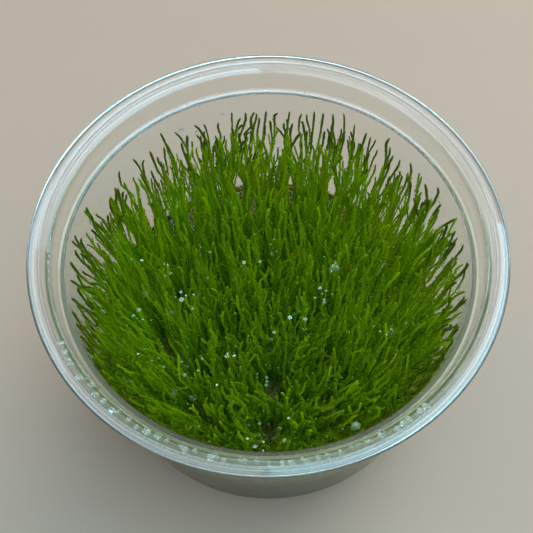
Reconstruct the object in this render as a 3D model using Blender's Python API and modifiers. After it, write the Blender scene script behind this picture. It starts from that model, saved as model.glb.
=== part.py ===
"""A clump of upright moss growing on clear gel in a round, clear plastic cup with no lid.

Metres, +Z up. The origin is the centre of the cup's base, on the surface that the cup stands on.
"""

import math
import random

import bmesh
import bpy
from mathutils import Vector

COLLECTION_NAME = "moss_clump_in_cup"

# The cup: a turned, thin-walled tub with a stepped rim for a lid.
CUP_HEIGHT = 0.066
RIM_RADIUS = 0.0585
FOOT_RADIUS = 0.0441
WALL = 0.0009
TURN_STEPS = 52

# The wall's ledge, and the top of the wall, as radii of the cup's inner side and depths below its top.
LEDGE_INNER_RADIUS = 0.0511
LEDGE_OUTER_RADIUS = 0.0518
LEDGE_DEPTH = 0.0078
LEDGE_FALL = 0.0005
WALL_TOP_RADIUS = 0.0531
WALL_TOP_DEPTH = 0.0019

# The rim: a concave shoulder up to the crest, an outer slope down to the lip, and the hollow under them.
SHOULDER_STEPS = ((0.0533, 0.0016), (0.0539, 0.0014), (0.05475, 0.0008), (0.0555, 0.0003), (0.0560, 0.0))
CREST_RADIUS = 0.0564
SLOPE_START = (0.0567, 0.0002)
SLOPE_END = (0.05835, 0.00175)
LIP_WIDTH = 0.0007
SKIRT_DEPTH = 0.0030
HOLLOW_STEPS = ((0.0577, 0.0024), (0.05625, 0.0011), (0.05585, 0.0010), (0.05445, 0.0021))

# The foot: the cup stands on a narrow ring, and its floor is pressed up a little inside it.
FOOT_BEND = 0.0016
FOOT_RING_WIDTH = 0.0030
FLOOR_RISE = 0.0005

# The gel layer that the moss grows on.
TOUCHING_GAP = 0.0003
GEL_TOP = 0.0208

# The moss: a pad on the gel, and shoots that stand on it and fan out towards the wall.
PAD_MIDDLE = (0.0, -0.0030)
PAD_RADIUS = 0.0400
PAD_THICKNESS = 0.0035
MOSS_CLEARANCE = 0.0006
SHOOTS_ACROSS = 17
SHOOT_TIP_HEIGHT = 0.0575
SHOOT_HEIGHT_SPREAD = 0.0030
TIPS_MIDDLE = (0.0, -0.0018)
TIPS_RADIUS = 0.0482
SHOOT_WAVE = 0.0007
SHOOT_JITTER = 0.22
SHOOT_RINGS = ((0.34, 0.64), (0.76, 0.64))
TIP_WIDTH = 0.2
MOSS_SEED = 12

PLASTIC_COLOUR = (0.86, 0.89, 0.88, 1.0)
GEL_COLOUR = (0.62, 0.64, 0.47, 1.0)
MOSS_COLOUR = (0.10, 0.21, 0.012, 1.0)


def clear_scene():
    for old in list(bpy.data.objects):
        bpy.data.objects.remove(old, do_unlink=True)


def new_collection(name):
    collection = bpy.data.collections.new(name)
    bpy.context.scene.collection.children.link(collection)
    return collection


def plain_material(name, colour, roughness, transmission=0.0, ior=1.45):
    material = bpy.data.materials.new(name)
    material.use_nodes = True
    shader = material.node_tree.nodes["Principled BSDF"]
    shader.inputs["Base Color"].default_value = colour
    shader.inputs["Roughness"].default_value = roughness
    shader.inputs["Metallic"].default_value = 0.0
    shader.inputs["Transmission Weight"].default_value = transmission
    shader.inputs["IOR"].default_value = ior
    return material


def add_object(name, mesh, material, collection):
    mesh.materials.append(material)
    piece = bpy.data.objects.new(name, mesh)
    collection.objects.link(piece)
    return piece


def turned_object(name, profile, material, collection):
    """A body turned about Z. Its profile starts and ends on the axis and runs down the outer side."""
    bm = bmesh.new()
    corners = [bm.verts.new((radius, 0.0, height)) for radius, height in profile]
    for start, end in zip(corners, corners[1:]):
        bm.edges.new((start, end))
    mesh = bpy.data.meshes.new(name)
    bm.to_mesh(mesh)
    bm.free()
    piece = add_object(name, mesh, material, collection)
    screw = piece.modifiers.new("Turn", "SCREW")
    screw.angle = math.tau
    screw.steps = TURN_STEPS
    screw.render_steps = TURN_STEPS
    screw.use_merge_vertices = True
    screw.merge_threshold = 0.00005
    screw.use_smooth_shade = True
    return piece


def wall_inner_radius(height):
    """The inner radius of the tapered wall between the foot and the ledge."""
    bottom_radius = FOOT_RADIUS - WALL
    bottom_height = FOOT_BEND
    top_radius = LEDGE_INNER_RADIUS - 0.0002
    top_height = CUP_HEIGHT - LEDGE_DEPTH - LEDGE_FALL
    share = (height - bottom_height) / (top_height - bottom_height)
    return bottom_radius + share * (top_radius - bottom_radius)


def bend(centre, radius, start_degrees, end_degrees, points):
    """Points along an arc, as (radius, height) pairs of the profile."""
    arc = []
    for index in range(points):
        angle = math.radians(start_degrees + (end_degrees - start_degrees) * index / (points - 1))
        arc.append((centre[0] + radius * math.cos(angle), centre[1] + radius * math.sin(angle)))
    return arc


def cup_profile():
    ledge_height = CUP_HEIGHT - LEDGE_DEPTH
    wall_top = ledge_height - LEDGE_FALL
    floor_height = FLOOR_RISE + WALL
    ring_inner = FOOT_RADIUS - FOOT_BEND - FOOT_RING_WIDTH
    inner_bend = FOOT_BEND - WALL
    bend_centre = (FOOT_RADIUS - FOOT_BEND, FOOT_BEND)

    inside = [
        (0.0, floor_height),
        (ring_inner - 0.0004, floor_height),
        (ring_inner + 0.0004, WALL),
    ]
    inside += bend(bend_centre, inner_bend, -90, -6, 3)
    inside += [
        (wall_inner_radius(wall_top - 0.0003), wall_top - 0.0003),
        (LEDGE_INNER_RADIUS + 0.0002, wall_top + 0.0001),
        (LEDGE_OUTER_RADIUS - 0.0002, ledge_height - 0.0001),
        (LEDGE_OUTER_RADIUS + 0.0001, ledge_height + 0.0005),
        (WALL_TOP_RADIUS, CUP_HEIGHT - WALL_TOP_DEPTH),
    ]
    inside += [(radius, CUP_HEIGHT - depth) for radius, depth in SHOULDER_STEPS]
    top = [
        (CREST_RADIUS, CUP_HEIGHT),
        (SLOPE_START[0], CUP_HEIGHT - SLOPE_START[1]),
        (SLOPE_END[0], CUP_HEIGHT - SLOPE_END[1]),
        (RIM_RADIUS, CUP_HEIGHT - SLOPE_END[1] - 0.0003),
    ]
    outside = [
        (RIM_RADIUS, CUP_HEIGHT - SKIRT_DEPTH),
        (RIM_RADIUS - LIP_WIDTH, CUP_HEIGHT - SKIRT_DEPTH),
    ]
    outside += [(radius, CUP_HEIGHT - depth) for radius, depth in HOLLOW_STEPS]
    outside += [
        (WALL_TOP_RADIUS + WALL, CUP_HEIGHT - WALL_TOP_DEPTH - WALL),
        (LEDGE_OUTER_RADIUS + WALL, ledge_height + 0.0002),
        (LEDGE_OUTER_RADIUS + 0.0006, ledge_height - WALL),
        (LEDGE_INNER_RADIUS + WALL, wall_top - WALL),
    ]
    outside += bend(bend_centre, FOOT_BEND, -6, -90, 4)
    underside = [
        (ring_inner, 0.0),
        (ring_inner - 0.0008, FLOOR_RISE),
        (0.0, FLOOR_RISE),
    ]
    return inside + top + outside + underside


def gel_profile():
    """The gel fills the cup's foot up to a level surface."""
    low = FLOOR_RISE + WALL + TOUCHING_GAP
    side_height = FOOT_BEND + TOUCHING_GAP
    return [
        (0.0, GEL_TOP),
        (wall_inner_radius(GEL_TOP) - TOUCHING_GAP, GEL_TOP),
        (wall_inner_radius(side_height) - TOUCHING_GAP, side_height),
        (FOOT_RADIUS - FOOT_BEND - TOUCHING_GAP, low),
        (0.0, low),
    ]


def square_to_disc(x, y):
    """Maps the square from -1 to 1 onto the unit disc, keeping equal areas equal."""
    if x == 0.0 and y == 0.0:
        return 0.0, 0.0
    if abs(x) > abs(y):
        radius, angle = x, math.pi / 4 * y / x
    else:
        radius, angle = y, math.pi / 2 - math.pi / 4 * x / y
    return radius * math.cos(angle), radius * math.sin(angle)


def moss_pad(bottom, top, chance):
    """The pad that the shoots stand on. Its top is parted into cells, one for each shoot."""
    bm = bmesh.new()
    bmesh.ops.create_grid(bm, x_segments=SHOOTS_ACROSS, y_segments=SHOOTS_ACROSS, size=1.0)
    cell = 2.0 * PAD_RADIUS / SHOOTS_ACROSS
    for corner in bm.verts:
        x, y = square_to_disc(corner.co.x, corner.co.y)
        corner.co = Vector((PAD_MIDDLE[0] + x * PAD_RADIUS, PAD_MIDDLE[1] + y * PAD_RADIUS, top))
        if not corner.is_boundary:
            corner.co.x += chance.uniform(-SHOOT_JITTER, SHOOT_JITTER) * cell
            corner.co.y += chance.uniform(-SHOOT_JITTER, SHOOT_JITTER) * cell
            corner.co.z += chance.uniform(-0.2, 0.2) * PAD_THICKNESS
    number = bm.faces.layers.int.new("shoot")
    cells = list(bm.faces)
    for index, face in enumerate(cells):
        face[number] = index
    rim = [edge for edge in bm.edges if edge.is_boundary]
    side = bmesh.ops.extrude_edge_only(bm, edges=rim)["geom"]
    lower = [corner for corner in side if isinstance(corner, bmesh.types.BMVert)]
    for corner in lower:
        corner.co.z = bottom
    lower_edges = [edge for edge in bm.edges if edge.is_boundary]
    bmesh.ops.contextual_create(bm, geom=lower_edges)
    return bm, cells


def kept_inside(place):
    """The same point, or one drawn in to clear the cup's wall."""
    limit = wall_inner_radius(place.z) - MOSS_CLEARANCE
    radius = math.hypot(place.x, place.y)
    if radius <= limit:
        return place
    return Vector((place.x * limit / radius, place.y * limit / radius, place.z))


def raise_ring(bm, faces, centres, width):
    """Extrudes each shoot's face by itself, and moves the new face to its centre with its width scaled."""
    number = bm.faces.layers.int["shoot"]
    raised = bmesh.ops.extrude_discrete_faces(bm, faces=faces)["faces"]
    for face in raised:
        centre = centres[face[number]]
        middle = face.calc_center_median()
        for corner in face.verts:
            corner.co = kept_inside(centre + (corner.co - middle) * width)
    return raised


def shoot_centres(roots, tips, share, chance):
    """Where the shoots' middles are at a share of their height. They lean out late and wave a little."""
    centres = []
    for root, tip in zip(roots, tips):
        lean = share ** 1.3
        place = Vector((root.x + (tip.x - root.x) * lean, root.y + (tip.y - root.y) * lean, 0.0))
        place.x += chance.uniform(-SHOOT_WAVE, SHOOT_WAVE)
        place.y += chance.uniform(-SHOOT_WAVE, SHOOT_WAVE)
        place.z = root.z + (tip.z - root.z) * share
        centres.append(place)
    return centres


def add_moss(material, collection):
    chance = random.Random(MOSS_SEED)
    bottom = GEL_TOP + TOUCHING_GAP
    top = bottom + PAD_THICKNESS
    bm, cells = moss_pad(bottom, top, chance)

    roots = [face.calc_center_median() for face in cells]
    outer_root_radius = PAD_RADIUS * (1.0 - 1.0 / SHOOTS_ACROSS)
    reach = TIPS_RADIUS / outer_root_radius
    tips = []
    for root in roots:
        height = SHOOT_TIP_HEIGHT + chance.uniform(-1.0, 1.0) * SHOOT_HEIGHT_SPREAD
        x = TIPS_MIDDLE[0] + (root.x - PAD_MIDDLE[0]) * reach
        y = TIPS_MIDDLE[1] + (root.y - PAD_MIDDLE[1]) * reach
        tips.append(Vector((x, y, height)))

    faces = cells
    for share, width in SHOOT_RINGS:
        faces = raise_ring(bm, faces, shoot_centres(roots, tips, share, chance), width)
    ends = raise_ring(bm, faces, tips, TIP_WIDTH)
    for corners in [list(face.verts) for face in ends]:
        middle = sum((corner.co for corner in corners), Vector()) / len(corners)
        bmesh.ops.pointmerge(bm, verts=corners, merge_co=middle)

    bmesh.ops.recalc_face_normals(bm, faces=bm.faces)
    mesh = bpy.data.meshes.new("moss_clump")
    bm.to_mesh(mesh)
    bm.free()
    return add_object("moss_clump", mesh, material, collection)


def build():
    clear_scene()
    collection = new_collection(COLLECTION_NAME)
    plastic = plain_material("clear_plastic", PLASTIC_COLOUR, 0.06, transmission=1.0, ior=1.49)
    gel = plain_material("clear_gel", GEL_COLOUR, 0.05, transmission=1.0, ior=1.34)
    moss = plain_material("moss", MOSS_COLOUR, 0.55)
    turned_object("cup", cup_profile(), plastic, collection)
    turned_object("growing_gel", gel_profile(), gel, collection)
    add_moss(moss, collection)


build()
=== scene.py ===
"""A clump of upright moss on clear gel in a round, clear plastic cup, dressed for its picture.

Metres, +Z up. The origin is the centre of the cup's base, on the surface that the cup stands on.
"""

import math
import random

import bmesh
import bpy
import numpy as np
from mathutils import Matrix, Vector


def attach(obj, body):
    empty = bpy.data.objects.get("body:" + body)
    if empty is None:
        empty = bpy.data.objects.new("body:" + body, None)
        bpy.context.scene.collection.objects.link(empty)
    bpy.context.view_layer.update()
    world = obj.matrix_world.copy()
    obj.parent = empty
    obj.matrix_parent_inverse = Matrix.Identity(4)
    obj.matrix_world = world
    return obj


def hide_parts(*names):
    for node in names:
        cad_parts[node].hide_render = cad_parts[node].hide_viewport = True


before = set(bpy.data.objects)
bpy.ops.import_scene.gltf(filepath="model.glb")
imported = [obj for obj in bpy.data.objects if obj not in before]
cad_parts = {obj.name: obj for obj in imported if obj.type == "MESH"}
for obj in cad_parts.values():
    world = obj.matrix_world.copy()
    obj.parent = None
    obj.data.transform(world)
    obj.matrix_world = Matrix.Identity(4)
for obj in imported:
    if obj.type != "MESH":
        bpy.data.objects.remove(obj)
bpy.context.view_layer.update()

# Lengths are in metres, but in the tables they are in hundredths of a millimetre.
H = 100000


def scaled(units, rows):
    """The rows of a table, with each column divided by its unit."""
    return [tuple(value / unit for value, unit in zip(row, units)) for row in rows]


# The cup. It is as high and wide as the solid, with finer steps, a shorter lip and a wider ledge.
TOP = 0.066
RIM_RADIUS = 0.0585
FOOT_RADIUS = 0.0441
WALL = 0.0009
WALL_TOP_RADIUS = 0.0531
LEDGE_OUTSIDE = 0.052
LEDGE_INSIDE = 0.0506
LEDGE_DEPTH = 0.0066
LEDGE_FALL = 0.0002
FOOT_BEND = 0.0016
FOOT_RING_WIDTH = 0.003
FLOOR_RISE = 0.0005
CUP_TURN_STEPS = 168
CORNER_RADIUS = 0.00004
CORNER_POINTS = 2

# The rim from the wall up to the crest, as radii and depths below the top.
SHOULDER_STEPS = scaled((H, H), (
    (5328, 164), (5372, 145), (5412, 124), (5450, 100), (5488, 99), (5492, 64), (5506, 56), (5544, 55),
    (5548, 20), (5562, 12), (5600, 0),
))

# The rim from the crest gently down to the lip, as radii and depths below the top.
SLOPE_STEPS = scaled((H, H), (
    (5640, 4), (5690, 11), (5740, 19), (5790, 28), (5825, 37), (5843, 52),
))
LIP_DEPTH = 0.0017
LIP_WIDTH = 0.0007

# The gel. It wets the cup, so it reaches a little way into the wall and creeps up it.
GEL_TOP = 0.0208
WETTING = 0.0004
MENISCUS_HEIGHT = 0.0011
MENISCUS_WIDTH = 0.0022

# The moss. Its shoots stand close together on the gel, and bend outwards as they rise.
MOSS_SEED = 7
MAIN_SHOOTS = 2060
YOUNG_SHOOTS = 380
WALL_SHOOTS = 90
SHOOT_SAMPLES = 28
ROOT_MIDDLE = (0.0, -0.0065)
ROOT_RADIUS = 0.037
ROOT_DEPTH = 0.0016
MAT_MIDDLE = (0.0, -0.0105)
MAT_RADIUS = 0.0326
BED_CELLS = 56
BED_HEIGHT = 0.003
BED_MARGIN = 0.0006
TIP_HEIGHT = 0.0578
TIP_SPREAD = 0.0028
FAN_AT_MIDDLE = 0.9
WALL_CLEARANCE = 0.0004
DRIFT = 0.0021
LEAF_WIDTH = 0.00028
STEM_RADIUS = 0.0002
GOLDEN_ANGLE = math.pi * (3.0 - math.sqrt(5.0))
SHOOT_ATTRIBUTES = ("height_share", "tone", "leaf")
ROOTS_IN_GEL = 150
MOST_TO_A_PIECE = 110000

# How far out the tips reach, every 12 degrees from +X round to +X again.
CROWD_RADII = (
    0.05, 0.0482, 0.0464, 0.0448, 0.0445, 0.0458, 0.0432, 0.043, 0.0418, 0.0425, 0.0432, 0.0425, 0.0435,
    0.048, 0.049, 0.0498, 0.0498, 0.0498, 0.0498, 0.0498, 0.0498, 0.0498, 0.0496, 0.0496, 0.0498, 0.0498,
    0.05, 0.0502, 0.05, 0.0498, 0.0495,
)

# The foremost tips at the back and the sides, as degrees and radius.
FOREMOST_TIPS = scaled((1, H), (
    (-23, 5020), (-14, 5020), (-2, 5000), (4, 4900), (9, 4780), (13, 4900), (19, 4700), (25, 4860),
    (28, 4620), (37, 4700), (40, 4560), (48, 4870), (51, 4600), (55, 4640), (60, 4720), (65, 4940),
    (68, 4780), (71, 4720), (74, 4710), (78, 4560), (82, 4580), (86, 4500), (90, 4550), (94, 4500),
    (97, 4560), (99, 4380), (107, 4400), (112, 4480), (115, 4560), (122, 4620), (126, 4800), (133, 4520),
    (139, 4660), (145, 4700), (151, 4500), (157, 4400), (161, 4920), (163, 4740), (171, 4960), (176, 4840),
    (180, 4940), (186, 4920), (192, 4940),
))

# Directions of the foremost tips at the front, which lean on the wall.
FRONT_TIP_ANGLES = range(196, 336, 4)
FRONT_TIP_RADIUS = 0.0504

# Narrow gaps at the back and the sides: x, y at tip height, and how far they open.
GAPS = scaled((H, H, H), (
    (-4180, 180, 70), (-3580, 1100, 130), (-3060, 1620, 90), (-2530, 1500, 90), (-2010, 1550, 80),
    (-1270, 2150, 80), (-730, 2450, 140), (-350, 1900, 110), (640, 2400, 90), (1690, 2250, 130),
    (1990, 1650, 80), (2990, 1450, 90), (3410, 1600, 70), (4260, 200, 70),
))
GAP_DEPTH = 0.0042

# Lines of sight from the front: where they start, how far off a point may lie, and their slope.
SEEN_FROM = (0.0, -0.1305, 0.2928)
SIGHT_WIDTH = 0.0006
SIGHT_SLOPE = 0.577
SIGHT_HEIGHT = 0.053

# Open pits among the shoots: x, y, radius and strength.
PITS = scaled((H, H, H, 10), (
    (-3000, -1400, 450, 9), (-2700, -2250, 500, 10), (-1820, -2660, 500, 10), (-960, -2380, 380, 9),
    (140, -2870, 440, 10), (-2170, -730, 360, 8), (0, -4320, 520, 10), (-2030, -3500, 420, 9),
    (1400, -900, 340, 8), (1680, 0, 360, 8), (20, 500, 340, 7), (-1460, 470, 340, 7), (-2490, 100, 360, 8),
    (-3290, 290, 340, 7), (2850, -1660, 300, 6), (1680, -4120, 360, 7),
))

# Wet glints in and around the pits: x, y and radius.
GLINTS = scaled((H, H, H), (
    (200, -4270, 50), (290, -4570, 46), (-360, -4710, 44), (-60, -4170, 40), (-480, -4190, 36),
    (-270, -4490, 40), (-550, -4510, 30), (570, -4480, 30), (410, -4060, 26), (-190, -3870, 26),
    (-1650, -4200, 42), (-1850, -3500, 30), (-1000, -2480, 46), (-910, -2320, 30), (-1430, -2860, 26),
    (-740, -3000, 26), (-1310, -3170, 24), (30, -3220, 46), (-40, -3060, 34), (50, -2990, 34),
    (910, -1490, 46), (900, -1760, 44), (920, -2060, 26), (490, -1430, 46), (690, -1290, 30),
    (120, -1860, 34), (90, -2040, 34), (1370, -1030, 44), (1260, -640, 40), (1330, -830, 30),
    (1170, -940, 26), (1760, -50, 40), (-2110, -860, 50), (-1880, -1090, 34), (-2160, -690, 36),
    (-2000, -2170, 34), (-1960, -2720, 36), (-2110, -2540, 30), (-2030, -2900, 44), (-560, 160, 40),
    (50, 370, 46), (-200, 140, 36), (-1440, 430, 36), (-1520, -340, 28), (-810, -1300, 36),
    (-2480, -120, 34), (-3220, -1150, 50), (-3310, -1340, 36), (-2530, -2680, 40),
))

# Flat drops inside the front of the rim, and the directions of the beads at its left.
FRONT_DROPS = 44
BEAD_ANGLES = (177.2, 179.0, 180.3, 182.2, 184.0, 186.4, 189.0)

# Flat, dried marks on the wall: degrees, height, half width and half height.
WALL_MARKS = scaled((1, H, H, H), (
    (160, 5000, 110, 220), (171, 4700, 100, 240), (168, 4400, 70, 120), (118, 5200, 80, 80),
    (113, 4900, 60, 70), (104, 5300, 70, 60), (72, 5000, 60, 90), (55, 4700, 90, 70), (24, 5100, 70, 110),
    (18, 4600, 80, 60),
))

# Soft lumps of gel that cling to the shoots: x, y and radius.
GEL_LUMPS = scaled((H, H, H), (
    (1640, 30, 110), (2920, -1760, 100), (2000, -4170, 120), (-2350, -3300, 120), (-1900, -3520, 100),
    (-2400, -1220, 90), (-3060, -600, 80),
))


# ---- materials

WHITE = (1.0, 1.0, 1.0)
WATER_IOR = 1.34


def new_material(name):
    material = bpy.data.materials.new(name)
    material.use_nodes = True
    tree = material.node_tree
    return material, tree, tree.nodes["Principled BSDF"], tree.nodes["Material Output"]


def feed(tree, node, inputs):
    """Links or sets inputs of a node, given by name or number. Colours are three numbers."""
    for key, value in inputs.items():
        socket = node.inputs[key]
        if isinstance(value, bpy.types.NodeSocket):
            tree.links.new(value, socket)
        elif isinstance(value, tuple):
            socket.default_value = (*value, 1.0)
        else:
            socket.default_value = value


def new_node(tree, kind, inputs, **settings):
    """A new shader node of this kind, such as Mix, with these settings and inputs."""
    node = tree.nodes.new("ShaderNode" + kind)
    for key, value in settings.items():
        setattr(node, key, value)
    feed(tree, node, inputs)
    return node


def own_place(tree):
    """The place on the piece, in metres."""
    return new_node(tree, "TexCoord", {}).outputs["Object"]


def noise(tree, place, scale, detail=2.0, roughness=0.5):
    inputs = {"Vector": place, "Scale": scale, "Detail": detail, "Roughness": roughness}
    return new_node(tree, "TexNoise", inputs).outputs["Fac"]


def to_range(tree, value, low, high, new_low=0.0, new_high=1.0):
    inputs = {"Value": value, "From Min": low, "From Max": high, "To Min": new_low, "To Max": new_high}
    return new_node(tree, "MapRange", inputs).outputs["Result"]


def maths(tree, operation, first, second=0.0):
    return new_node(tree, "Math", {0: first, 1: second}, operation=operation).outputs["Value"]


def ramp(tree, value, stops):
    node = new_node(tree, "ValToRGB", {"Fac": value})
    points = node.color_ramp.elements
    while len(points) < len(stops):
        points.new(0.5)
    for point, (place, colour) in zip(points, stops):
        point.position = place
        point.color = (*colour, 1.0)
    return node.outputs["Color"]


def mix_colour(tree, share, first, second, blend="MIX"):
    inputs = {0: share, 6: first, 7: second}
    return new_node(tree, "Mix", inputs, data_type="RGBA", blend_type=blend).outputs[2]


def bumped(tree, height, strength, distance):
    inputs = {"Height": height, "Strength": strength, "Distance": distance}
    return new_node(tree, "Bump", inputs).outputs["Normal"]


def new_group(name, numbers, colours, gives, kind):
    """An empty shader node group, which takes a place, these numbers and these colours."""
    group = bpy.data.node_groups.new(name, "ShaderNodeTree")
    takes = [("Place", "NodeSocketVector")]
    takes += [(label, "NodeSocketFloat") for label in numbers]
    takes += [(label, "NodeSocketColor") for label in colours]
    for label, socket_kind in takes:
        group.interface.new_socket(name=label, in_out="INPUT", socket_type=socket_kind)
    group.interface.new_socket(name=gives, in_out="OUTPUT", socket_type=kind)
    return group, group.nodes.new("NodeGroupInput").outputs, group.nodes.new("NodeGroupOutput")


def make_mottle_group():
    """Soft spots of a second colour over a first one."""
    numbers = ("Scale", "Low", "High", "Most")
    group, given, result = new_group("mottle", numbers, ("First", "Second"), "Colour", "NodeSocketColor")
    clouds = noise(group, given["Place"], given["Scale"])
    share = to_range(group, clouds, given["Low"], given["High"], 0.0, given["Most"])
    feed(group, result, {"Colour": mix_colour(group, share, given["First"], given["Second"])})


def make_ripple_group():
    """A finely uneven surface."""
    numbers = ("Scale", "Strength", "Distance")
    group, given, result = new_group("ripple", numbers, (), "Normal", "NodeSocketVector")
    lumps = noise(group, given["Place"], given["Scale"])
    feed(group, result, {"Normal": bumped(group, lumps, given["Strength"], given["Distance"])})


def use_group(tree, name, **inputs):
    """The output of a shader node group with these inputs."""
    return new_node(tree, "Group", inputs, node_tree=bpy.data.node_groups[name]).outputs[0]


def let_light_through(tree, looks, output, tint, kinds=("Is Shadow Ray", "Is Diffuse Ray")):
    """Rays of these kinds go straight through a clear or thin piece, tinted but unbent."""
    path = new_node(tree, "LightPath", {})
    clear = new_node(tree, "BsdfTransparent", {"Color": tint}).outputs["BSDF"]
    for kind in kinds:
        inputs = {0: path.outputs[kind], 1: looks, 2: clear}
        looks = new_node(tree, "MixShader", inputs).outputs["Shader"]
    feed(tree, output, {"Surface": looks})


def round_the_cup(tree, place):
    """The radius, the height, how far back, and the place pressed to the cup's axis."""
    x, back, height = new_node(tree, "SeparateXYZ", {"Vector": place}).outputs
    flat = new_node(tree, "CombineXYZ", {"X": x, "Y": back}).outputs["Vector"]
    radius = new_node(tree, "VectorMath", {0: flat}, operation="LENGTH").outputs["Value"]
    near_axis = {
        "X": to_range(tree, x, 0.0, 1.0, 0.0, 0.012),
        "Y": to_range(tree, back, 0.0, 1.0, 0.0, 0.012),
        "Z": radius,
    }
    return radius, height, back, new_node(tree, "CombineXYZ", near_axis).outputs["Vector"]


def clear_plastic():
    """Clear plastic: fine rings, smears and a duller lip, with painted green and painted shade in bands on
    the ledge, the rim and the wall.
    """
    material, tree, shader, output = new_material("clear_plastic")
    place = own_place(tree)
    radius, height, back, pressed = round_the_cup(tree, place)

    # Painted light by height: painted green on the ledge, which carries light from the moss, and painted
    # olive shade below the shoulder, both faded out at the back.
    sides = ramp(tree, to_range(tree, height, 0.052, 0.066), (
        (0.485, WHITE), (0.5, (0.9, 0.92, 0.68)), (0.53, (0.9, 0.92, 0.68)), (0.545, WHITE),
        (0.74, WHITE), (0.8, (0.84, 0.82, 0.66)), (0.865, (0.82, 0.8, 0.62)), (0.885, (0.99, 1.0, 1.0)),
    ))
    corners = mix_colour(tree, to_range(tree, back, 0.02, 0.042), sides, WHITE)

    # Painted shade by radius: dark lines at the steps of the rim and at the crest, and a darker lip.
    painted_step_lines = ramp(tree, to_range(tree, radius, 0.054, 0.0585), (
        (0.12, WHITE), (0.15, (0.76, 0.75, 0.74)), (0.18, WHITE), (0.235, WHITE),
        (0.27, (0.62, 0.61, 0.6)), (0.305, WHITE), (0.385, WHITE), (0.43, (0.62, 0.62, 0.61)),
        (0.475, WHITE), (0.69, WHITE), (0.745, (0.5, 0.51, 0.5)), (0.8, (0.92, 0.93, 0.92)),
        (0.86, (0.6, 0.67, 0.66)), (0.96, (0.42, 0.49, 0.49)),
    ))
    with_step_lines = mix_colour(tree, to_range(tree, height, 0.064, 0.0642), corners, painted_step_lines)
    # Painted green and shade along the front, just under the rim, where the moss shows through the wall.
    at_front = to_range(tree, back, -0.022, -0.044, 0.0, 0.85)
    front_band = maths(tree, "MULTIPLY", at_front, to_range(tree, height, 0.06505, 0.0648))
    over_moss = mix_colour(tree, front_band, with_step_lines, (0.68, 0.78, 0.48))
    # Painted shade: the low edge of the lip is near black, which dims a bright line there.
    lip = to_range(tree, radius, 0.0576, 0.05775)
    lip_shade_mask = maths(tree, "MULTIPLY", lip, to_range(tree, height, 0.06455, 0.06435))
    edged = mix_colour(tree, lip_shade_mask, over_moss, (0.12, 0.12, 0.11))
    # Painted olive shade on the wall below the top of the gel.
    tinted = mix_colour(tree, to_range(tree, height, 0.0225, 0.0205), edged, (0.54, 0.6, 0.28))

    smears = to_range(tree, noise(tree, place, 90.0, 3.0), 0.45, 0.75, 0.01, 0.045)
    duller = maths(tree, "ADD", smears, to_range(tree, radius, 0.0577, 0.05835, 0.0, 0.12))
    inputs = {"Vector": pressed, "W": height, "Scale": 2600.0, "Detail": 1.0}
    rings = new_node(tree, "TexNoise", inputs, noise_dimensions="4D").outputs["Fac"]
    feed(tree, shader, {"Base Color": tinted, "Transmission Weight": 0.975, "IOR": 1.49})
    feed(tree, shader, {"Roughness": duller, "Normal": bumped(tree, rings, 0.2, 0.0001)})
    let_light_through(tree, shader.outputs["BSDF"], output, (0.95, 0.96, 0.96))
    return material


def wet_material(name, colour, clearness, roughness, tint, **ripple):
    """Water or watery gel, with a ripple on its surface if that is given."""
    material, tree, shader, output = new_material(name)
    feed(tree, shader, {"Base Color": colour, "Transmission Weight": clearness})
    feed(tree, shader, {"Roughness": roughness, "IOR": WATER_IOR})
    if ripple:
        feed(tree, shader, {"Normal": use_group(tree, "ripple", Place=own_place(tree), **ripple)})
    let_light_through(tree, shader.outputs["BSDF"], output, tint)
    return material


def clear_gel():
    """Gel that takes some of the blue out of the light on its way through."""
    uneven = {"Scale": 420.0, "Strength": 0.1, "Distance": 0.0003}
    material = wet_material("clear_gel", (0.97, 0.98, 0.93), 1.0, 0.05, (0.88, 0.89, 0.8), **uneven)
    tree = material.node_tree
    absorb = new_node(tree, "VolumeAbsorption", {"Color": (0.62, 0.66, 0.36), "Density": 30.0})
    feed(tree, tree.nodes["Material Output"], {"Volume": absorb.outputs["Volume"]})
    return material


def lump_material():
    """Gel that is a little cloudy and rough."""
    uneven = {"Scale": 2200.0, "Strength": 0.6, "Distance": 0.0002}
    return wet_material("gel_lumps", (0.8, 0.88, 0.72), 0.92, 0.1, (0.85, 0.9, 0.8), **uneven)


def drop_material(name, clearness):
    return wet_material(name, (0.92, 1.0, 0.99), clearness, 0.03, (0.95, 0.97, 0.95))


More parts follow.
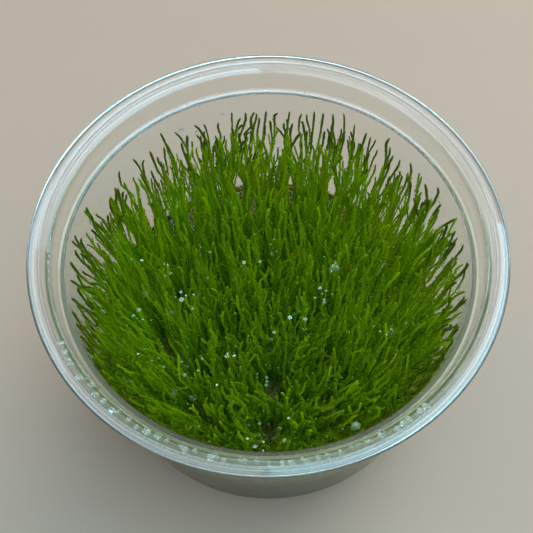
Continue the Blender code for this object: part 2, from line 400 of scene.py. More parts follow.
def moss_leaves():
    """Brown stems low down, yellow-green leaves, darker tips, wet and partly see-through."""
    material, tree, shader, output = new_material("moss")
    named = [new_node(tree, "Attribute", {}, attribute_name=name) for name in SHOOT_ATTRIBUTES]
    height, tone, leaf = (node.outputs["Fac"] for node in named)
    place = own_place(tree)

    up_the_shoot = ramp(tree, height, (
        (0.0, (0.3, 0.2, 0.03)), (0.24, (0.46, 0.38, 0.02)), (0.45, (0.53, 0.65, 0.011)),
        (0.7, (0.45, 0.58, 0.006)), (0.82, (0.32, 0.43, 0.004)), (0.92, (0.215, 0.285, 0.003)),
        (1.0, (0.1, 0.13, 0.003)),
    ))
    fresh = mix_colour(tree, to_range(tree, tone, 0.55, 1.0, 0.0, 0.7), up_the_shoot, (0.48, 0.62, 0.006))

    # Shoots at the edge of the clump have the tones below 0.25.
    edge = to_range(tree, tone, 0.25, 0.23)
    inner = to_range(tree, tone, 0.23, 0.25)
    faded = maths(tree, "MULTIPLY", to_range(tree, tone, 0.45, 0.26, 0.0, 0.55), inner)
    old = mix_colour(tree, faded, fresh, (0.19, 0.27, 0.006))
    patchy = use_group(
        tree, "mottle", Place=place, Scale=90.0, Low=0.35, High=0.7, Most=0.4,
        First=old, Second=(0.28, 0.5, 0.004),
    )
    mottled = use_group(
        tree, "mottle", Place=place, Scale=1900.0, Low=0.35, High=0.65, Most=0.35,
        First=patchy, Second=(0.22, 0.37, 0.005),
    )
    low_down = to_range(tree, height, 0.75, 0.5)
    woody = maths(tree, "MULTIPLY", to_range(tree, leaf, 0.0, 1.0, 0.35, 0.0), low_down)
    stem = mix_colour(tree, woody, mottled, (0.3, 0.23, 0.015))
    at_edge = maths(tree, "MULTIPLY", to_range(tree, height, 0.78, 0.95, 0.0, 0.85), edge)
    tipped = mix_colour(tree, at_edge, stem, (0.075, 0.105, 0.006))
    feed(tree, shader, {
        "Base Color": tipped,
        "Roughness": to_range(tree, noise(tree, place, 1900.0), 0.3, 0.7, 0.4, 0.6),
        "Specular IOR Level": 0.12,
    })

    # Lamps shine through a few leaves, as the real ones are one cell thick.
    glow = mix_colour(tree, 1.0, tipped, (1.0, 0.95, 0.35), "MULTIPLY")
    through = new_node(tree, "BsdfTranslucent", {"Color": glow}).outputs["BSDF"]
    inputs = {0: 0.58, 1: shader.outputs["BSDF"], 2: through}
    looks = new_node(tree, "MixShader", inputs).outputs["Shader"]
    let_light_through(tree, looks, output, (0.64, 0.75, 0.26), ("Is Shadow Ray",))
    return material


def bed_material():
    """Old, brown and olive stems, felted together and wet."""
    material, tree, shader, output = new_material("old_stems")
    place = own_place(tree)
    colour = ramp(tree, noise(tree, place, 1100.0, 3.0, 0.7), (
        (0.3, (0.15, 0.105, 0.026)), (0.5, (0.3, 0.225, 0.05)), (0.72, (0.34, 0.32, 0.05)),
    ))
    uneven = use_group(tree, "ripple", Place=place, Scale=1100.0, Strength=0.8, Distance=0.0008)
    feed(tree, shader, {"Base Color": colour, "Roughness": 0.55, "Normal": uneven})
    return material


def root_mat_material():
    """Cloudy, olive gel full of fine, winding roots."""
    material, tree, shader, output = new_material("root_mat")
    place = own_place(tree)
    base = use_group(
        tree, "mottle", Place=place, Scale=160.0, Low=0.35, High=0.65, Most=1.0,
        First=(0.036, 0.042, 0.014), Second=(0.07, 0.076, 0.03),
    )
    shifted = maths(tree, "SUBTRACT", noise(tree, place, 330.0, 3.0, 0.6), 0.5)
    root = to_range(tree, maths(tree, "ABSOLUTE", shifted), 0.03, 0.008)
    feed(tree, shader, {"Base Color": mix_colour(tree, root, base, (0.014, 0.014, 0.006)), "Roughness": 0.6})
    return material


def floor_material():
    """Plain and warm near the cup, paler further off, where the lamps are weak."""
    material, tree, shader, output = new_material("pale_floor")
    reach = new_node(tree, "VectorMath", {0: own_place(tree)}, operation="LENGTH")
    far = to_range(tree, reach.outputs["Value"], 0.35, 1.6)
    colour = mix_colour(tree, far, (0.35, 0.24, 0.172), (0.86, 0.82, 0.76))
    feed(tree, shader, {"Base Color": colour, "Roughness": 0.6})
    return material


# ---- shapes


def new_object(name, data):
    thing = bpy.data.objects.new(name, data)
    bpy.context.scene.collection.objects.link(thing)
    return thing


def to_mesh(name, bm):
    mesh = bpy.data.meshes.new(name)
    bm.to_mesh(mesh)
    bm.free()
    mesh.shade_smooth()
    return mesh


def add_piece(name, mesh, material, node=None):
    mesh.materials.append(material)
    piece = new_object(name, mesh)
    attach(piece, "root")
    if node:
        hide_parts(node)
    return piece


def bend(centre, radius, start_degrees, end_degrees, points):
    """Points along an arc of the profile."""
    arc = []
    for index in range(points):
        angle = math.radians(start_degrees + (end_degrees - start_degrees) * index / (points - 1))
        arc.append((centre[0] + radius * math.cos(angle), centre[1] + radius * math.sin(angle)))
    return arc


def rounded(profile, radius, points):
    """The profile with each corner cut off by a short curve."""
    path = [Vector(place) for place in profile]
    smooth = [path[0]]
    for before, corner, after in zip(path, path[1:], path[2:]):
        back = before - corner
        ahead = after - corner
        reach = min(radius, 0.45 * back.length, 0.45 * ahead.length)
        start = corner + back.normalized() * reach
        end = corner + ahead.normalized() * reach
        for index in range(points):
            share = index / (points - 1)
            first = start.lerp(corner, share)
            second = corner.lerp(end, share)
            smooth.append(first.lerp(second, share))
    smooth.append(path[-1])
    return [(place.x, place.y) for place in smooth]


def turned(bm, profile, steps):
    """Spins a profile, given as (radius, height) pairs, once round Z."""
    corners = [bm.verts.new((radius, 0.0, height)) for radius, height in profile]
    edges = [bm.edges.new(pair) for pair in zip(corners, corners[1:])]
    bmesh.ops.spin(
        bm, geom=corners + edges, cent=(0.0, 0.0, 0.0), axis=(0.0, 0.0, 1.0), dvec=(0.0, 0.0, 0.0),
        angle=math.tau, steps=steps, use_merge=True, use_duplicate=False,
    )
    bmesh.ops.remove_doubles(bm, verts=bm.verts, dist=0.000001)
    bmesh.ops.recalc_face_normals(bm, faces=bm.faces)


def turned_piece(name, profile, material, node):
    bm = bmesh.new()
    turned(bm, profile, CUP_TURN_STEPS)
    piece = add_piece(name, to_mesh(name, bm), material, node)
    even = piece.modifiers.new("Even shading", "WEIGHTED_NORMAL")
    even.keep_sharp = True


def wall_inner_radius(height):
    """The inner radius of the tapered wall."""
    bottom_radius = FOOT_RADIUS - WALL
    bottom_height = FOOT_BEND
    top_radius = LEDGE_INSIDE - 0.0002
    top_height = TOP - LEDGE_DEPTH - LEDGE_FALL
    share = (height - bottom_height) / (top_height - bottom_height)
    return bottom_radius + share * (top_radius - bottom_radius)


def cup_profile():
    ledge_height = TOP - LEDGE_DEPTH
    floor_height = FLOOR_RISE + WALL
    ring_inner = FOOT_RADIUS - FOOT_BEND - FOOT_RING_WIDTH
    inner_bend = FOOT_BEND - WALL
    bend_centre = (FOOT_RADIUS - FOOT_BEND, FOOT_BEND)
    wall_top = ledge_height - LEDGE_FALL

    inside = [
        (0.0, floor_height),
        (ring_inner - 0.0004, floor_height),
        (ring_inner + 0.0004, WALL),
    ]
    inside += bend(bend_centre, inner_bend, -90, -6, 5)
    inside += [
        (wall_inner_radius(wall_top - 0.0003), wall_top - 0.0003),
        (LEDGE_INSIDE, wall_top - 0.0001),
        (LEDGE_INSIDE + 0.0001, wall_top),
        (LEDGE_OUTSIDE - 0.00034, wall_top + 0.00012),
        (LEDGE_OUTSIDE - 0.00005, ledge_height - 0.00006),
        (LEDGE_OUTSIDE + 0.00005, ledge_height + 0.0001),
        (WALL_TOP_RADIUS, TOP - SHOULDER_STEPS[0][1] - 0.0003),
    ]
    inside += [(radius, TOP - depth) for radius, depth in SHOULDER_STEPS]
    top = [(radius, TOP - depth) for radius, depth in SLOPE_STEPS]
    outside = [
        (RIM_RADIUS, TOP - SLOPE_STEPS[-1][1] - 0.0003),
        (RIM_RADIUS - 0.0003, TOP - LIP_DEPTH),
        (RIM_RADIUS - LIP_WIDTH, TOP - LIP_DEPTH),
        (RIM_RADIUS - LIP_WIDTH - 0.0002, TOP - 0.0011),
        (0.05665, TOP - 0.001),
        (0.05585, TOP - 0.0012),
        (0.05455, TOP - 0.002),
        (WALL_TOP_RADIUS + WALL, TOP - 0.0028),
        (LEDGE_OUTSIDE + WALL, ledge_height + 0.0002),
        (LEDGE_OUTSIDE + 0.0006, ledge_height - WALL),
        (LEDGE_INSIDE + WALL, wall_top - WALL),
    ]
    outside += bend(bend_centre, FOOT_BEND, -6, -90, 6)
    underside = [
        (ring_inner, 0.0),
        (ring_inner - 0.0008, FLOOR_RISE),
        (0.0, FLOOR_RISE),
    ]
    return rounded(inside + top + outside + underside, CORNER_RADIUS, CORNER_POINTS)


def gel_profile():
    """The gel fills the cup's foot, and its top curves up where it meets the wall."""
    low = FLOOR_RISE + WALL - WETTING
    edge = wall_inner_radius(GEL_TOP) + WETTING
    side_height = FOOT_BEND
    profile = [(0.0, GEL_TOP)]
    for index in range(9):
        share = index / 8
        radius = edge - WETTING - MENISCUS_WIDTH * (1.0 - share)
        profile.append((radius, GEL_TOP + MENISCUS_HEIGHT * share ** 2.4))
    profile += [
        (edge, GEL_TOP + MENISCUS_HEIGHT),
        (wall_inner_radius(side_height) + WETTING, side_height),
        (FOOT_RADIUS - FOOT_BEND, low),
        (0.0, low),
    ]
    return profile


# ---- moss shoots


def add_leaf(bm, height, angle, spread, length):
    """A keeled leaf, closed, that grows from the stem and points up and out."""
    standing = Matrix.Translation((0.0, 0.0, length * 0.5))
    flat = Matrix.Diagonal((0.42, 1.0, 1.0, 1.0))
    tilted = Matrix.Rotation(spread, 4, "Y")
    outward = Matrix.Translation((STEM_RADIUS * 0.6, 0.0, height))
    around = Matrix.Rotation(angle, 4, "Z")
    bmesh.ops.create_cone(
        bm, cap_ends=True, cap_tris=False, segments=3, radius1=LEAF_WIDTH, radius2=0.0, depth=length,
        matrix=around @ outward @ tilted @ flat @ standing,
    )


def leafy_shoot(length, leaves, first_leaf, stem_sides, rings, chance):
    """A straight shoot along Z: a thin stem with a plump, pointed end, and leaves all round it."""
    bm = bmesh.new()
    profile = [(0.0, 0.0)]
    for index in range(rings):
        share = index / rings
        from_top = length * (1.0 - share)
        plump = 0.00009 * math.exp(-((from_top - 0.0022) / 0.0022) ** 2)
        profile.append((0.00016 + 0.00007 * share + plump, length * share))
    profile += [
        (0.00031, length - 0.0014),
        (0.00028, length - 0.0006),
        (0.00016, length - 0.0001),
        (0.0, length),
    ]
    turned(bm, profile, stem_sides)
    stem_corners = len(bm.verts)
    for index in range(leaves):
        share = first_leaf + (0.975 - first_leaf) * ((index + 0.5) / leaves) ** 0.85
        from_top = length * (1.0 - share)
        opening = min(1.0, from_top / 0.008)
        spread = math.radians(6.0 + 18.0 * opening + chance.uniform(-5.0, 7.0))
        leaf_length = 0.00074 + 0.00016 * opening + chance.uniform(-0.0001, 0.0001)
        leaf_length = min(leaf_length, from_top + 0.0002)
        angle = index * GOLDEN_ANGLE + chance.uniform(-0.3, 0.3)
        add_leaf(bm, length * share, angle, spread, leaf_length)
    bmesh.ops.recalc_face_normals(bm, faces=bm.faces)
    mesh = to_mesh("shoot", bm)
    mesh.calc_loop_triangles()
    corners = np.empty(len(mesh.vertices) * 3)
    mesh.vertices.foreach_get("co", corners)
    triangles = np.empty(len(mesh.loop_triangles) * 3, dtype=np.int32)
    mesh.loop_triangles.foreach_get("vertices", triangles)
    bpy.data.meshes.remove(mesh)
    corners = corners.reshape(-1, 3)
    share = np.clip(corners[:, 2] / length, 0.0, 1.0)
    leaf = np.zeros(len(corners), dtype=np.float32)
    leaf[stem_corners:] = 1.0
    return {"corners": corners, "share": share, "triangles": triangles.reshape(-1, 3), "leaf": leaf}


def headings(angles):
    """Unit steps in these directions, seen from above."""
    return np.column_stack((np.cos(angles), np.sin(angles)))


def at_height(places, height):
    return np.column_stack((places, np.broadcast_to(height, len(places))))


def spread_roots(count, chance):
    """Roots spread evenly over the gel, each a little off its place."""
    roots = []
    for index in range(count):
        radius = ROOT_RADIUS * ((index + 0.5) / count) ** 0.47
        angle = index * GOLDEN_ANGLE
        x = radius * math.cos(angle) + chance.gauss(0.0, 0.0006)
        y = radius * math.sin(angle) + chance.gauss(0.0, 0.0006)
        size = math.hypot(x, y)
        limit = min(1.0, ROOT_RADIUS / max(size, 1e-9))
        roots.append((ROOT_MIDDLE[0] + x * limit, ROOT_MIDDLE[1] + y * limit))
    return np.array(roots)


def fanned_out(roots):
    """Where the tips of these roots end, seen from above: the clump opens like a brush."""
    middle = np.array(ROOT_MIDDLE)
    radius = np.linalg.norm(roots - middle, axis=1)[:, None]
    outward = (roots - middle) / np.maximum(radius, 1e-9)
    angle = np.degrees(np.arctan2(outward[:, 1], outward[:, 0])) % 360.0
    crowd = np.interp(angle, np.linspace(0.0, 360.0, len(CROWD_RADII)), CROWD_RADII)[:, None]
    share = radius / ROOT_RADIUS
    fan = FAN_AT_MIDDLE + (1.0 - FAN_AT_MIDDLE) * share ** 2
    return outward * crowd * share * fan + middle * (1.0 - share)


def pushed_from_pits(places, amount, spread):
    """Moves points away from the pits, whose places are scaled by the spread."""
    moved = places.copy()
    for x, y, radius, strength in PITS:
        away = places - np.array((x, y)) * spread
        distance = np.linalg.norm(away, axis=1, keepdims=True) + 1e-9
        push = strength * amount * radius * np.exp(-((distance / radius) ** 2))
        moved += away / distance * push
    return moved


def slow_waves(chance):
    """Slow waves over the clump, which make neighbours lean and curve alike."""
    waves = []
    for _ in range(8):
        heading = chance.uniform(0.0, math.tau)
        pace = math.tau / chance.uniform(0.014, 0.04)
        along = (pace * math.cos(heading), pace * math.sin(heading))
        starts = (chance.uniform(0.0, math.tau), chance.uniform(0.0, math.tau))
        waves.append((np.array(along), chance.uniform(-2.4, 2.4), starts))
    return waves


def drift(places, share, waves):
    """How far each shoot drifts sideways at each share of its length."""
    sideways = np.zeros((len(places), len(share), 2))
    for along, climb, starts in waves:
        phase = (places @ along)[:, None] + climb * share[None]
        sideways[:, :, 0] += np.sin(phase + starts[0])
        sideways[:, :, 1] += np.sin(phase + starts[1])
    return sideways * (DRIFT / math.sqrt(len(waves)))


def shoot_paths(roots, tips, waves, swing, draws, bend_range=(1.3, 2.1)):
    """A wavy path for each shoot: upright low down, bending outwards later, with a curved tip."""
    count = len(roots)
    share = np.linspace(0.0, 1.0, SHOOT_SAMPLES)
    lean = share[None] ** draws.uniform(*bend_range, (count, 1))
    across = (tips - roots)[:, None, :2]
    paths = np.empty((count, SHOOT_SAMPLES, 3))
    paths[:, :, :2] = roots[:, None, :2] + across * lean[:, :, None]
    paths[:, :, 2] = roots[:, None, 2] + (tips - roots)[:, None, 2] * share[None]
    paths[:, :, :2] += drift(roots[:, :2], share, waves) * (swing * share ** 1.2)[None, :, None]

    grows = np.minimum(1.0, share * 4.0)[None, :, None]
    for turns, size in ((1.5, 0.00045), (3.2, 0.00034), (6.5, 0.0001)):
        start = draws.uniform(0.0, math.tau, (count, 1, 2))
        pace = turns * draws.uniform(0.75, 1.25, (count, 1, 2))
        width = size * swing * draws.uniform(0.4, 1.4, (count, 1, 2))
        paths[:, :, :2] += width * grows * np.sin(start + pace * math.tau * share[None, :, None])

    hook_angle = draws.uniform(0.0, math.tau, count)
    hook_size = draws.gamma(2.0, 0.00038, count) * swing
    hook = at_height(headings(hook_angle), -0.2)
    hook *= hook_size[:, None]
    hook[:, :2] -= 0.12 * across[:, 0]
    late = np.clip((share - 0.78) / 0.22, 0.0, 1.0) ** 2
    paths += hook[:, None] * late[None, :, None]
    return kept_in_cup(parted(paths))


def parted(paths):
    """Opens the narrow gaps, each along one line of sight from the front."""
    depth = paths[:, :, 1] - SIGHT_SLOPE * (SIGHT_HEIGHT - paths[:, :, 2])
    distance = paths[:, :, 1] - SEEN_FROM[1]
    for x, y, width in GAPS:
        aside = paths[:, :, 0] - x / (y - SEEN_FROM[1]) * distance
        weight = np.exp(-((depth - y) / GAP_DEPTH) ** 2)
        side = np.where((aside * weight).sum(axis=1, keepdims=True) < 0.0, -1.0, 1.0)
        push = width * np.exp(-((aside / (1.6 * width)) ** 2))
        paths[:, :, 0] += side * weight * push
    return paths


def kept_in_cup(paths):
    radius = np.linalg.norm(paths[:, :, :2], axis=2)
    limit = wall_inner_radius(paths[:, :, 2]) - WALL_CLEARANCE
    soft = 0.001
    over = np.maximum(0.0, radius - (limit - soft))
    kept = np.where(over > 0.0, limit - soft + soft * (1.0 - np.exp(-over / soft)), radius)
    scale = kept / np.maximum(radius, 1e-9)
    paths[:, :, :2] *= scale[:, :, None]
    return paths


def along_paths(paths, shoot, spins, stretch):
    """Bends copies of a straight shoot along the paths. Returns the corners of all of them."""
    ahead = np.gradient(paths, axis=1)
    ahead /= np.linalg.norm(ahead, axis=2, keepdims=True)
    reference = np.array((1.0, 0.0, 0.0))
    across = reference - ahead * (ahead @ reference)[:, :, None]
    across /= np.linalg.norm(across, axis=2, keepdims=True)
    beside = np.cross(ahead, across)
    corners = shoot["corners"]
    place = shoot["share"] * (paths.shape[1] - 1)
    low = np.minimum(place.astype(int), paths.shape[1] - 2)
    part = (place - low)[None, :, None]

    def between(values):
        return values[:, low] * (1.0 - part) + values[:, low + 1] * part

    turn = spins[:, None]
    x = (corners[:, 0] * np.cos(turn) - corners[:, 1] * np.sin(turn)) * stretch[:, None]
    y = (corners[:, 0] * np.sin(turn) + corners[:, 1] * np.cos(turn)) * stretch[:, None]
    return between(paths) + x[:, :, None] * between(across) + y[:, :, None] * between(beside)


def moss_batch(paths, shoots, low_share, high_share, tones, chance, plump=1.0):
    """Arrays of the corners, triangles and attributes of one shoot on each path."""
    low_share = np.broadcast_to(low_share, len(paths))
    high_share = np.broadcast_to(high_share, len(paths))
    plump = np.broadcast_to(plump, len(paths))
    parts = []
    kinds = chance.integers(0, len(shoots), len(paths))
    for kind, shoot in enumerate(shoots):
        chosen = np.nonzero(kinds == kind)[0]
        if len(chosen) == 0:
            continue
        spins = chance.uniform(0.0, math.tau, len(chosen))
        stretch = chance.uniform(0.82, 1.18, len(chosen)) * plump[chosen]
        corners = along_paths(paths[chosen], shoot, spins, stretch)
        count = corners.shape[1]
        low = low_share[chosen][:, None]
        high = high_share[chosen][:, None]
        first_corners = count * np.arange(len(chosen))[:, None, None]
        parts.append({
            "corners": corners.reshape(-1, 3),
            "triangles": (shoot["triangles"][None] + first_corners).reshape(-1, 3),
            "height_share": (low + (high - low) * shoot["share"][None]).reshape(-1),
            "tone": np.repeat(tones[chosen], count),
            "leaf": np.tile(shoot["leaf"], len(chosen)),
        })
    return parts


def joined_piece(name, parts, material):
    """One piece of the moss, joined from the arrays of its parts."""

    def joined(key):
        return np.concatenate([part[key] for part in parts]).astype(np.float32)

    mesh = bpy.data.meshes.new(name)
    corners = joined("corners")
    starts = np.cumsum([0] + [len(part["corners"]) for part in parts[:-1]])
    triangles = np.concatenate([part["triangles"] + start for part, start in zip(parts, starts)])
    triangles = triangles.astype(np.int32)
    mesh.vertices.add(len(corners))
    mesh.vertices.foreach_set("co", corners.ravel())
    mesh.loops.add(triangles.size)
    mesh.loops.foreach_set("vertex_index", triangles.ravel())
    mesh.polygons.add(len(triangles))
    mesh.polygons.foreach_set("loop_start", np.arange(0, triangles.size, 3, dtype=np.int32))
    mesh.update(calc_edges=True)
    mesh.shade_smooth()
    for key in SHOOT_ATTRIBUTES:
        mesh.attributes.new(key, "FLOAT", "POINT").data.foreach_set("value", joined(key))
    add_piece(name, mesh, material, "moss_clump")


def square_to_disc(x, y):
    """Maps the square from -1 to 1 onto the unit disc, keeping areas equal."""
    if x == 0.0 and y == 0.0:
        return 0.0, 0.0
    if abs(x) > abs(y):
        radius, angle = x, math.pi / 4 * y / x
    else:
        radius, angle = y, math.pi / 2 - math.pi / 4 * x / y
    return radius * math.cos(angle), radius * math.sin(angle)


def moss_bed(material):
    """The felted mat of old stems that the shoots stand in, closed and lumpy."""
    chance = random.Random(MOSS_SEED + 1)
    bm = bmesh.new()
    bmesh.ops.create_grid(bm, x_segments=BED_CELLS, y_segments=BED_CELLS, size=1.0)
    for corner in bm.verts:
        x, y = square_to_disc(corner.co.x, corner.co.y)
        ragged = MAT_RADIUS + BED_MARGIN
        if corner.is_boundary:
            ragged *= chance.uniform(0.955, 1.0)
        corner.co.x = MAT_MIDDLE[0] + x * ragged + chance.uniform(-0.0003, 0.0003)
        corner.co.y = MAT_MIDDLE[1] + y * ragged + chance.uniform(-0.0003, 0.0003)
        corner.co.z = GEL_TOP + BED_HEIGHT + chance.gauss(0.0, 0.0006)
    rim = [edge for edge in bm.edges if edge.is_boundary]
    side = bmesh.ops.extrude_edge_only(bm, edges=rim)["geom"]
    for corner in side:
        if isinstance(corner, bmesh.types.BMVert):
            corner.co.z = GEL_TOP - ROOT_DEPTH
    bmesh.ops.contextual_create(bm, geom=[edge for edge in bm.edges if edge.is_boundary])
    bmesh.ops.recalc_face_normals(bm, faces=bm.faces)
    add_piece("moss_bed", to_mesh("moss_bed", bm), material, "moss_clump")


def root_mat(material):
    """The mass of fine roots in the gel below the clump: a closed, lumpy drum."""
    chance = random.Random(MOSS_SEED + 5)
    bm = bmesh.new()
    profile = [
        (0.0, GEL_TOP - 0.001),
        (MAT_RADIUS - 0.001, GEL_TOP - 0.001),
        (MAT_RADIUS + 0.001, GEL_TOP - 0.004),
        (MAT_RADIUS + 0.0008, 0.01),
        (MAT_RADIUS - 0.0002, 0.006),
        (MAT_RADIUS - 0.003, 0.003),
        (0.0, 0.0026),
    ]
    turned(bm, rounded(profile, 0.0015, 4), 72)
    for corner in bm.verts:
        reach = math.hypot(corner.co.x, corner.co.y)
        if reach > 0.01:
            corner.co.x *= 1.0 + chance.uniform(-0.008, 0.008)
            corner.co.y *= 1.0 + chance.uniform(-0.008, 0.008)
        corner.co.x += MAT_MIDDLE[0]
        corner.co.y += MAT_MIDDLE[1]
    piece = soft_piece("root_mat", bm, material)
    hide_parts("moss_clump")


def edge_paths(low, waves, draws):
    """Shoots at the edge of the clump. The foremost end just where the photo shows their tips."""
    places = FOREMOST_TIPS + [(angle, FRONT_TIP_RADIUS) for angle in FRONT_TIP_ANGLES]
    foremost = len(places)
    places = np.array(places * 3, dtype=float)
    follower = np.arange(len(places)) >= foremost
    angles = np.radians(places[:, 0] + follower * draws.normal(0.0, 2.6, len(places)))
    reaches = places[:, 1] - follower * draws.uniform(0.0004, 0.0048, len(places))
    heights = TIP_HEIGHT - follower * draws.uniform(-0.0004, 0.005, len(places))
    outward = headings(angles)
    tips = at_height(outward * reaches[:, None], heights)
    roots = outward * ROOT_RADIUS * draws.uniform(0.8, 0.98, (len(places), 1)) + np.array(ROOT_MIDDLE)
    paths = shoot_paths(at_height(roots, low), tips, waves, 1.5, draws)
    share = np.linspace(0.0, 1.0, SHOOT_SAMPLES)[None, :, None]
    paths += (tips - paths[:, -1])[:, None] * share ** 2
    return kept_in_cup(paths)


def wall_paths(low, waves, draws):
    """Shoots that lean on the front wall from low down."""
    angles = np.radians(draws.uniform(198.0, 342.0, WALL_SHOOTS))
    outward = headings(angles)
    roots = outward * (ROOT_RADIUS - 0.0004) + np.array(ROOT_MIDDLE)
    tips = at_height(outward * FRONT_TIP_RADIUS, TIP_HEIGHT - draws.uniform(0.0, 0.016, WALL_SHOOTS))
    return shoot_paths(at_height(roots, low), tips, waves, 0.7, draws, (0.3, 0.6))


def add_drop(bm, place, size, turn=0.0, lean=0.0):
    """A closed drop with these three half widths."""
    around = Matrix.Rotation(turn, 4, "Z") @ Matrix.Rotation(lean, 4, "Y")
    matrix = Matrix.Translation(place) @ around @ Matrix.Diagonal((*size, 1.0))
    bmesh.ops.create_icosphere(bm, subdivisions=2, radius=1.0, matrix=matrix)


def soft_piece(name, bm, material):
    bmesh.ops.recalc_face_normals(bm, faces=bm.faces)
    return add_piece(name, to_mesh(name, bm), material)


def foremost_on_shoots(paths, place):
    """The foremost point of the shoots on the line of sight to a place."""
    points = paths[:, SHOOT_SAMPLES // 2 :].reshape(-1, 3)
    sight = np.array(SEEN_FROM) - np.array(place)
    sight /= np.linalg.norm(sight)
    offset = points - np.array(place)
    along = offset @ sight
    aside = np.linalg.norm(offset - along[:, None] * sight, axis=1)
    if aside.min() > SIGHT_WIDTH:
        return Vector(points[np.argmin(aside)])
    return Vector(points[np.argmax(np.where(aside < SIGHT_WIDTH, along, -1.0))])


def wet_the_shoots(paths, drops, gel):
    """Drops and soft lumps of gel that cling to the shoots."""
    chance = random.Random(MOSS_SEED + 2)
    bm = bmesh.new()
    places = list(GLINTS)
    for x, y, radius, strength in PITS:
        for _ in range(4):
            angle = chance.uniform(0.0, math.tau)
            reach = radius * chance.uniform(0.2, 1.0)
            size = chance.uniform(0.00018, 0.0003)
            places.append((x + reach * math.cos(angle), y + reach * math.sin(angle), size))
    for x, y, radius in places:
        place = foremost_on_shoots(paths, (x, y, 0.0535))
        above = Vector((0.0, -0.0003, 0.0007)) * (0.55 + 900.0 * radius)
        add_drop(bm, place + above, (radius * 1.25, radius * 1.05, radius))
    soft_piece("drops_on_moss", bm, drops)

    bm = bmesh.new()
    for x, y, radius in GEL_LUMPS:
        place = foremost_on_shoots(paths, (x, y, 0.0525)) + Vector((0.0, -0.0002, 0.0003))
        add_drop(bm, place, (radius, radius * 0.8, radius * 1.15), chance.uniform(0.0, math.tau), 0.3)
        beside = (chance.uniform(-0.7, 0.7), chance.uniform(-0.7, 0.7), chance.uniform(-0.6, 0.2))
        size = (radius * 0.6, radius * 0.55, radius * 0.7)
        add_drop(bm, place + Vector(beside) * radius, size, chance.uniform(0.0, math.tau))
    for corner in bm.verts:
        corner.co += corner.normal * chance.uniform(-0.00012, 0.00012)
    soft_piece("gel_lumps", bm, gel)


def grow_roots(material):
    """Thin brown roots that wander from the clump down through the gel."""
    chance = random.Random(MOSS_SEED + 3)
    draws = np.random.default_rng(MOSS_SEED + 3)
    kinds = [leafy_shoot(0.024, 6, 0.1, 4, 8, chance) for _ in range(3)]
    count = ROOTS_IN_GEL
    outward = headings(draws.uniform(0.0, math.tau, count))
    inner = outward * draws.uniform(0.02, 0.0385, (count, 1))
    starts = at_height(inner, GEL_TOP + 0.001)
    starts[:, 1] += ROOT_MIDDLE[1] * 0.6
    outer = outward * draws.uniform(0.024, 0.0412, (count, 1))
    ends = at_height(outer, draws.uniform(0.003, 0.015, count))
    paths = shoot_paths(starts, ends, slow_waves(chance), 1.2, draws)
    parts = moss_batch(paths, kinds, 0.22, 0.02, np.full(count, 0.3), draws)
    joined_piece("roots_in_gel", parts, material)


def on_cup(degrees, radius, height):
    """A place at this direction, radius and height, and the direction in radians."""
    angle = math.radians(degrees)
    return Vector((radius * math.cos(angle), radius * math.sin(angle), height)), angle


def wet_the_wall(drops):
    """Flat drops inside the front of the rim, beads at its left, and marks on the back wall."""
    chance = random.Random(MOSS_SEED + 4)
    bm = bmesh.new()
    radii, depths = zip(*SHOULDER_STEPS)
    for index in range(FRONT_DROPS):
        degrees = 208.0 + 104.0 * (index + chance.uniform(-0.4, 0.4)) / FRONT_DROPS
        radius = chance.uniform(0.0541, 0.0554)
        long = chance.uniform(0.00075, 0.0012)
        wide = chance.uniform(0.00045, 0.0009)
        place, angle = on_cup(degrees, radius, TOP - np.interp(radius, radii, depths))
        add_drop(bm, place, (long, wide, 0.0005), angle, math.radians(-26.0))
    for degrees in BEAD_ANGLES:
        place, angle = on_cup(degrees, 0.0533, TOP - 0.00165)
        size = chance.uniform(0.00022, 0.00036)
        add_drop(bm, place, (size, size, size), angle)
    for degrees, height, wide, tall in WALL_MARKS:
        place, angle = on_cup(degrees, wall_inner_radius(height), height)
        add_drop(bm, place, (0.00012, wide, tall), angle, math.radians(8.3))
    soft_piece("drops_on_cup", bm, drops)


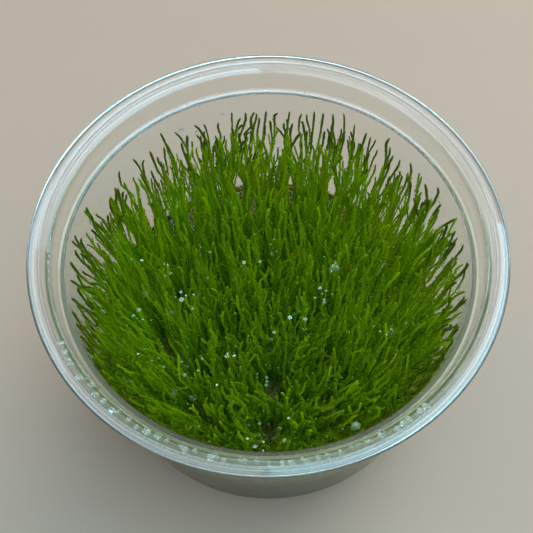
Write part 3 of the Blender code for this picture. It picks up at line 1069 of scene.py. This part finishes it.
def grow_moss(material):
    chance = random.Random(MOSS_SEED)
    draws = np.random.default_rng(MOSS_SEED)
    tall = [leafy_shoot(0.04, 55, 0.24, 4, 9, chance) for _ in range(10)]
    short = [leafy_shoot(0.01, 18, 0.05, 4, 3, chance) for _ in range(5)]
    young = [leafy_shoot(0.022, 36, 0.12, 4, 5, chance) for _ in range(4)]
    waves = slow_waves(chance)
    low = GEL_TOP - ROOT_DEPTH

    roots = pushed_from_pits(spread_roots(MAIN_SHOOTS, chance), 0.25, 0.82)
    tips = pushed_from_pits(fanned_out(roots), 1.15, 1.0)
    tips += draws.normal(0.0, 0.0013, tips.shape)
    heights = TIP_HEIGHT + draws.uniform(-1.0, 1.0, len(tips)) * TIP_SPREAD
    heights -= draws.gamma(1.4, 0.0028, len(tips))
    paths = shoot_paths(at_height(roots, low), at_height(tips, heights), waves, 1.0, draws)

    edge = np.concatenate((edge_paths(low, waves, draws), wall_paths(low, waves, draws)))
    paths = np.concatenate((edge, paths))
    tones = np.clip(draws.normal(0.52, 0.2, len(paths)), 0.26, 1.0)
    tones[: len(edge)] = draws.uniform(0.05, 0.22, len(edge))
    at_edge = np.arange(len(paths)) < len(edge)
    plump = np.where(at_edge, 1.14, 1.0)
    everything = moss_batch(paths, tall, 0.0, 1.0, tones, draws, plump)

    # Side branches that fork off the taller shoots.
    forked = np.nonzero(draws.uniform(0.0, 1.0, len(paths)) < np.where(at_edge, 0.5, 0.21))[0]
    leaving = draws.uniform(0.6, 0.86, len(forked))
    rows = (leaving * (SHOOT_SAMPLES - 1)).astype(int)
    start = paths[forked, rows]
    outward = headings(draws.uniform(0.0, math.tau, len(forked)))
    reach = draws.uniform(0.0012, 0.003, (len(forked), 1))
    end = start + at_height(outward * reach, draws.uniform(0.0045, 0.009, len(forked)))
    end[:, :2] += (paths[forked, -1, :2] - start[:, :2]) * 0.8
    end[:, 2] = np.minimum(end[:, 2], TIP_HEIGHT + TIP_SPREAD)
    branch_paths = shoot_paths(start, end, waves, 0.35, draws)
    tops = np.clip(leaving + 0.3, 0.0, 1.0)
    everything += moss_batch(branch_paths, short, leaving * 0.95, tops, tones[forked], draws)

    # Young shoots that are still low among the others.
    young_roots = pushed_from_pits(spread_roots(YOUNG_SHOOTS, chance), 0.5, 0.85)
    young_tips = pushed_from_pits(young_roots * 1.08, 0.6, 0.92)
    young_tips += draws.normal(0.0, 0.0012, young_roots.shape)
    young_tips = at_height(young_tips, draws.uniform(0.035, 0.053, len(young_tips)))
    young_paths = shoot_paths(at_height(young_roots, low), young_tips, waves, 0.6, draws)
    young_tones = np.clip(draws.normal(0.65, 0.2, len(young_paths)), 0.26, 1.0)
    everything += moss_batch(young_paths, young, 0.1, 0.9, young_tones, draws)

    pieces = [[]]
    held = 0
    for part in everything:
        if held > MOST_TO_A_PIECE:
            pieces.append([])
            held = 0
        pieces[-1].append(part)
        held += len(part["triangles"])
    for index, parts in enumerate(pieces):
        joined_piece(f"moss_shoots_{index + 1}", parts, material)
    return paths


# ---- stage


def make_camera():
    camera = new_object("camera", bpy.data.cameras.new("camera"))
    right = Vector((0.99990148, -0.0114673, -0.00809458))
    up = Vector((0.01394448, 0.87743496, 0.4794929))
    back = right.cross(up)
    turn = Matrix((right, up, back)).transposed().to_4x4()
    camera.matrix_world = Matrix.Translation((0.0, -0.1305334, 0.292821)) @ turn
    for key, value in (("sensor_width", 36.0), ("lens", 72.95), ("clip_start", 0.01), ("clip_end", 10.0)):
        setattr(camera.data, key, value)
    bpy.context.scene.camera = camera


# The lamps: name, place, size, power, colour, and the kinds of light they leave out.
LAMPS = (
    ("high_window", (0.405, 0.035, 0.963), (1.06, 0.9), 14.5, (0.4, 0.78, 1.0), ()),
    ("ceiling", (-0.2, 0.1, 1.8), (2.6, 2.6), 20.0, (0.62, 0.86, 1.0), ("diffuse",)),
    ("room_light", (0.43, 0.55, 0.42), (0.7, 0.7), 6.2, (1.0, 0.86, 0.72), ("glossy", "transmission")),
    ("left_light", (-0.85, 0.25, 0.3), (0.9, 0.35), 4.5, (0.5, 0.8, 1.0), ("glossy", "transmission")),
    ("side_window", (-0.5, 0.42, 0.76), (0.36, 0.5), 1.5, (0.62, 0.88, 1.0), ("diffuse",)),
    ("skylight", (-0.3, 0.04, 1.15), (0.55, 0.6), 2.6, (0.72, 0.9, 1.0), ("diffuse",)),
)
LAMPS_AIM = (0.0, 0.0, 0.05)


def add_lamp(name, place, size, power, colour, left_out):
    data = bpy.data.lights.new(name, "AREA")
    data.shape = "RECTANGLE"
    data.size, data.size_y = size
    data.energy = power
    data.color = colour
    lamp = new_object(name, data)
    lamp.location = place
    lamp.visible_camera = False
    for kind in left_out:
        setattr(lamp, f"visible_{kind}", False)
    lamp.rotation_euler = (Vector(LAMPS_AIM) - Vector(place)).to_track_quat("-Z", "Y").to_euler()


def make_stage():
    bm = bmesh.new()
    bmesh.ops.create_grid(bm, x_segments=1, y_segments=1, size=3.0)
    floor = new_object("floor", to_mesh("floor", bm))
    floor.data.materials.append(floor_material())
    for lamp in LAMPS:
        add_lamp(*lamp)

    world = bpy.data.worlds.new("room")
    world.use_nodes = True
    tree = world.node_tree
    direction = new_node(tree, "TexCoord", {}).outputs["Generated"]
    upward = new_node(tree, "SeparateXYZ", {"Vector": direction}).outputs["Z"]
    colour = ramp(tree, to_range(tree, upward, -0.1, 1.0), (
        (0.0, (0.8, 0.76, 0.7)), (0.35, (0.8, 0.78, 0.74)), (1.0, (0.9, 0.95, 1.0)),
    ))
    feed(tree, tree.nodes["Background"], {"Color": colour, "Strength": 0.5})
    bpy.context.scene.world = world


def set_render():
    scene = bpy.context.scene
    scene.view_settings.view_transform = "Standard"
    scene.cycles.use_denoising = True
    for kind, most in (("max", 40), ("transmission", 40), ("glossy", 40), ("diffuse", 10)):
        setattr(scene.cycles, f"{kind}_bounces", most)
    scene.cycles.transparent_max_bounces = 24


make_mottle_group()
make_ripple_group()
make_camera()
make_stage()
set_render()
turned_piece("clear_cup", cup_profile(), clear_plastic(), "cup")
turned_piece("clear_gel", gel_profile(), clear_gel(), "growing_gel")
moss_bed(bed_material())
leaves = moss_leaves()
shoots = grow_moss(leaves)
grow_roots(leaves)
root_mat(root_mat_material())
# The drops on the moss are a little milky, a painted highlight that makes them show as bright glints.
wet_the_shoots(shoots, drop_material("wet_glints", 0.87), lump_material())
wet_the_wall(drop_material("clear_drops", 0.98))
